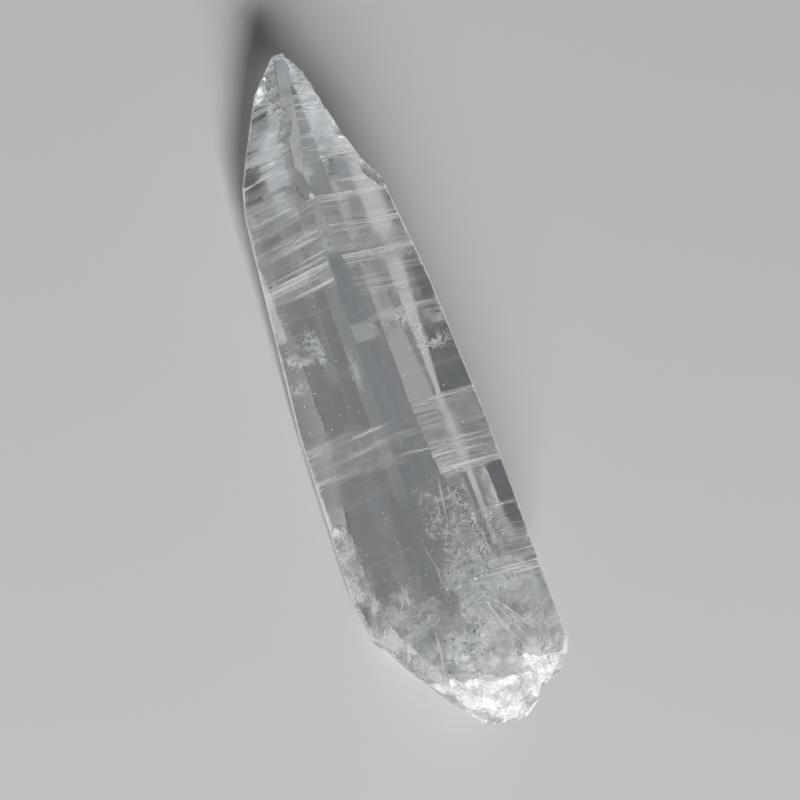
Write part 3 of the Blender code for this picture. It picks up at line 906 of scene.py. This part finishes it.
def make_veils(tree):
    """Sheets and clouds of minute white flakes that make the lower crystal milky."""
    chance = np.random.default_rng(21)
    sheets = [(*veil_flakes(chance, *row), VEIL_FLAKES) for row in VEILS]
    sheets += [(*cloud_flakes(chance, *row), CLOUD_FLAKES) for row in CLOUDS]
    sheets.append((*speck_flakes(chance, *SPECKS), SPECK_FLAKES))
    sheets.append((*milk_flakes(chance, *MILK), MILK_FLAKES))
    points, facings, sizes = [], [], []
    for spots, facing, (smallest, largest) in sheets:
        kept = inside(spots, FLAKE_MARGIN)
        points.append(spots[kept])
        facings.append(np.broadcast_to(np.array(facing), spots.shape)[kept])
        sizes.append(chance.uniform(smallest, largest, kept.sum()))
    veils = points_object("milky_veils", *map(np.concatenate, (points, sizes, facings)))
    run_tree(veils, tree, Flake_size=1.0, Roughness=0.6)
    return veils


def make_wisps(tree):
    """Splinter-like fractures under the front of the lower crystal, and the long ones among them."""
    chance = np.random.default_rng(22)
    spots, facings, sizes = [], [], []
    for count, *ranges in WISPS:
        for s, x, depth, size in zip(*[chance.uniform(low, high, count) for low, high in ranges]):
            if noise.noise(Vector((x, s, 3.0)) / WISP_PATCH_SIZE) > -0.05:
                spots.append((x, -s, skin_height(s, x) - depth))
                facings.append(front_normal(s, x))
                sizes.append(size)
    spots, facings, sizes = np.array(spots), np.array(facings), np.array(sizes)
    kept = inside(spots, 0.2 + 0.2 * sizes, 0.4 * sizes)
    scattered = points_object("wisps", spots[kept], sizes[kept], facings[kept])
    run_tree(scattered, tree, Wisp_length=1.0, Wisp_bend=WISP_BEND)
    strips = bmesh.new()
    strips.from_mesh(scattered.data)
    for start, end, bow, width in FRACTURES:
        add_fracture(strips, start, end, bow, width)
    strips.to_mesh(scattered.data)
    strips.free()
    return scattered


def add_fracture(strips, start, end, bow, width):
    """One long pointed fracture under the front: a thin ragged strip from its start to its end."""
    along, across = end[0] - start[0], end[1] - start[1]
    length = math.hypot(along, across)
    rails = []
    for step in range(FRACTURE_STEPS + 1):
        share = step / FRACTURE_STEPS
        wander = 0.25 * noise.noise(Vector((share * 4, start[0], start[1])))
        sway = 4 * bow * share * (1 - share) + wander
        s = start[0] + share * along - sway * across / length
        x = start[1] + share * across + sway * along / length
        rough = 0.75 + 0.5 * noise.noise(Vector((share * 9, start[1], 2.0)))
        half = width * rough * math.sin(math.pi * min(share ** 0.8, 1.0)) + 0.01
        z = skin_height(s, x) - FRACTURE_DEPTH
        rail = []
        for reach in (-half, half):
            place = (x + reach * along / length, -(s - reach * across / length), z - 0.4 * reach)
            rail.append(strips.verts.new(place))
        rails.append(rail)
    for near, far in zip(rails, rails[1:]):
        strips.faces.new((near[0], near[1], far[1], far[0]))


def make_hollows(tree):
    """Small hollows inside, each a cluster of black flakes, painted shade for the dark seen through them."""
    chance = np.random.default_rng(23)
    spots, facings, sizes = [], [], []
    for s, x, radius, count in HOLLOWS:
        for away, turn in zip(chance.uniform(0, radius, count), chance.uniform(0, 2 * math.pi, count)):
            near_x, near_s = x + 0.6 * away * math.cos(turn), s + away * math.sin(turn)
            spots.append((near_x, -near_s, skin_height(near_s, near_x) - FRACTURE_DEPTH))
            facings.append((0.0, 0.0, 1.0))
            sizes.append(chance.uniform(*HOLLOW_FLAKES))
    hollows = points_object("hollows_painted_shade", spots, sizes, facings)
    run_tree(hollows, tree, Flake_size=1.0, Roughness=0.9)
    return hollows


def new_finish(name):
    """A new material, its nodes and its shader."""
    material = bpy.data.materials.new(name)
    material.use_nodes = True
    return material, material.node_tree, material.node_tree.nodes["Principled BSDF"]


def quartz_material(seat):
    """Clear quartz: frosted, crinkled and lined where its marks say, faintly cool through its depth."""
    material, tree, _ = new_finish("clear_quartz_finish")
    tree.nodes.clear()

    def maths(*terms, clamp=False):
        return calculate(tree, *terms, clamp=clamp)

    def times(first, second, clamp=False):
        return maths("MULTIPLY", first, second, clamp=clamp)

    where = add_node(tree, "ShaderNodeTexCoord")
    local = add_node(tree, "ShaderNodeMapping",
                     {"Vector": where.outputs["Object"], "Location": seat.to_translation(),
                      "Rotation": (0, ROLL, 0), "Scale": (MM, MM, MM)}, vector_type="TEXTURE")
    parts = add_node(tree, "ShaderNodeSeparateXYZ", {0: local})
    # The frost layer also carries the painted highlights along the side edges.
    frost, crinkle, lines = [add_node(tree, "ShaderNodeAttribute", attribute_name=name).outputs["Fac"]
                             for name in ("frost", "crinkle", "lines")]
    from_ridge = maths("ABSOLUTE", maths("SUBTRACT", parts.outputs["X"], RIDGE_LINE))
    slanted = maths("ADD", parts.outputs["Y"], times(from_ridge, LINE_SLANT))
    sheared = add_node(tree, "ShaderNodeCombineXYZ",
                       {0: parts.outputs["X"], 1: slanted, 2: parts.outputs["Z"]})
    grains = {}
    for name, (stretch, detail, distortion) in GRAINS.items():
        scaled = add_node(tree, "ShaderNodeMapping", {"Vector": sheared, "Scale": stretch})
        grain = add_node(tree, "ShaderNodeTexNoise",
                         {"Vector": scaled, "Scale": 1.0, "Detail": detail, "Distortion": distortion})
        grains[name] = grain.outputs[0]

    line_mix = maths("ADD", times(grains["fine_lines"], 0.5), times(grains["lines"], 0.5))
    line_height = times(line_mix, times(lines, LINE_BUMP))
    crease = maths("ABSOLUTE", maths("SUBTRACT", grains["crinkles"], 0.5))
    crinkle_height = times(maths("POWER", crease, 0.8), times(crinkle, CRINKLE_BUMP))
    bump = add_node(tree, "ShaderNodeBump",
                    {"Height": maths("ADD", line_height, crinkle_height), "Distance": MM, "Strength": 1.0})

    streaks = times(maths("SUBTRACT", line_mix, STREAKS[0]), STREAKS[1], clamp=True)
    swell = times(maths("SUBTRACT", grains["bands"], SWELL[0]), SWELL[1], clamp=True)
    lined = times(times(streaks, swell), times(lines, LINE_FROST))
    curl = maths("SUBTRACT", 1.0, times(crease, CURL_SHARPNESS), clamp=True)
    curled = times(curl, times(crinkle, CURL_FROST))
    gritty = times(maths("SUBTRACT", grains["speckle"], 0.5), times(crinkle, GRIT))
    clouded = maths("ADD", times(grains["mottle"], MOTTLING), LEAST_MOTTLED)
    spread = times(frost, maths("ADD", clouded, gritty))
    cover = maths("ADD", maths("ADD", spread, curled), lined, clamp=True)
    rough = maths("ADD", times(maths("POWER", cover, 0.8), ROUGHNESS_RANGE), SMOOTHEST)
    milk = times(maths("SUBTRACT", cover, MILKY_COVER), MILKY_SHARE, clamp=True)
    shader = add_node(tree, "ShaderNodeBsdfPrincipled",
                      {"Roughness": rough, "Transmission Weight": maths("SUBTRACT", 1.0, milk),
                       "Normal": bump, "Base Color": QUARTZ_TINT, "IOR": QUARTZ_IOR})
    depth = add_node(tree, "ShaderNodeVolumeAbsorption", {"Color": DEPTH_TINT, "Density": DEPTH_DENSITY})
    out = add_node(tree, "ShaderNodeOutputMaterial", {"Surface": shader, "Volume": depth})
    out.is_active_output = True
    return material


def flake_material(name, dark, light):
    """Matt flakes, mottled between two tones."""
    material, tree, shader = new_finish(name)
    where = add_node(tree, "ShaderNodeTexCoord")
    grain = add_node(tree, "ShaderNodeTexNoise", {"Vector": where.outputs["Object"], "Scale": 300.0})
    ramp = add_node(tree, "ShaderNodeValToRGB", {"Fac": grain})
    ramp.color_ramp.elements[0].color = dark
    ramp.color_ramp.elements[1].color = light
    tree.links.new(ramp.outputs[0], shader.inputs["Base Color"])
    shader.inputs["Roughness"].default_value = 0.7
    return material


def make_floor():
    """A plain pale floor."""
    floor = bmesh.new()
    bmesh.ops.create_grid(floor, x_segments=1, y_segments=1, size=FLOOR_REACH)
    bmesh.ops.translate(floor, verts=floor.verts, vec=(0, 0, -FLOOR_GAP))
    item = new_object("floor", floor)
    put_in_place(item, Matrix.Scale(MM, 4))
    material, _, shader = new_finish("pale_floor")
    shader.inputs["Base Color"].default_value = (FLOOR_TONE, FLOOR_TONE, FLOOR_TONE, 1)
    shader.inputs["Roughness"].default_value = 0.75
    item.data.materials.append(material)


def light_studio():
    """A dark soft surround, a key light in front on the left, and dim ones above and on the left."""
    world = bpy.data.worlds.new("studio")
    bpy.context.scene.world = world
    world.use_nodes = True
    world.node_tree.nodes["Background"].inputs["Color"].default_value = SURROUND
    for name, place, size, power in LIGHTS:
        data = bpy.data.lights.new(name, "AREA")
        data.shape = "RECTANGLE"
        data.size, data.size_y = size
        data.energy = power
        light = add_object(name, data)
        light.location = place
        light.rotation_euler = (Vector(LIGHT_AIM) - Vector(place)).to_track_quat("-Z", "Y").to_euler()


def place_camera(seat):
    """Look straight down on the ridge face, with the point up and to the left."""
    aim = seat @ Vector((AIM_ACROSS, -AIM_DISTANCE, THICKNESS / 2))
    data = bpy.data.cameras.new("camera")
    data.sensor_width = 36.0
    data.lens = data.sensor_width * CAMERA_DISTANCE / FIELD
    item = add_object("camera", data)
    turn = Matrix.Rotation(ROLL, 4, "Y") @ Matrix.Rotation(TURN, 4, "Z")
    item.matrix_world = Matrix.Translation(aim) @ turn @ Matrix.Translation((0, 0, CAMERA_DISTANCE))
    bpy.context.scene.camera = item


def make_crystal(seat):
    """The whole crystal: lofted, lined, broken, chipped, marked and laid down."""
    quartz = quartz_material(seat)
    crystal = loft_crystal()
    run_tree(crystal, grow_lines_tree(quartz), Line_depth=LINE_DEPTH, Line_spacing=LINE_SPACING)
    cut_away(crystal, [make_base_cutter()] + make_scoops())
    paint_marks(crystal.data)
    put_in_place(crystal, seat)
    crystal.data.shade_smooth()
    crystal.data.set_sharp_from_angle(angle=math.radians(SHARP_ANGLE))
    return crystal


def settings():
    """Deep light paths for the clear crystal, and a plain picture."""
    scene = bpy.context.scene
    scene.cycles.max_bounces = 24
    scene.cycles.glossy_bounces = 16
    scene.cycles.transmission_bounces = 20
    scene.view_settings.view_transform = "Standard"


def main():
    seat = seating()
    crystal = make_crystal(seat)
    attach(crystal, "root")
    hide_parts(NODE)
    white = flake_material("milky_veil_finish", *WHITE_TONES)
    # The hollow flakes are black, painted shade for the dark seen through the hollows.
    dark = flake_material("hollow_painted_shade_finish", *PAINTED_SHADE_TONES)
    inner = (make_veils(flake_tree(white)), make_wisps(wisp_tree(white)), make_hollows(flake_tree(dark)))
    for piece in inner:
        put_in_place(piece, seat)
        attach(piece, "root")
    make_floor()
    light_studio()
    place_camera(seat)
    settings()


main()
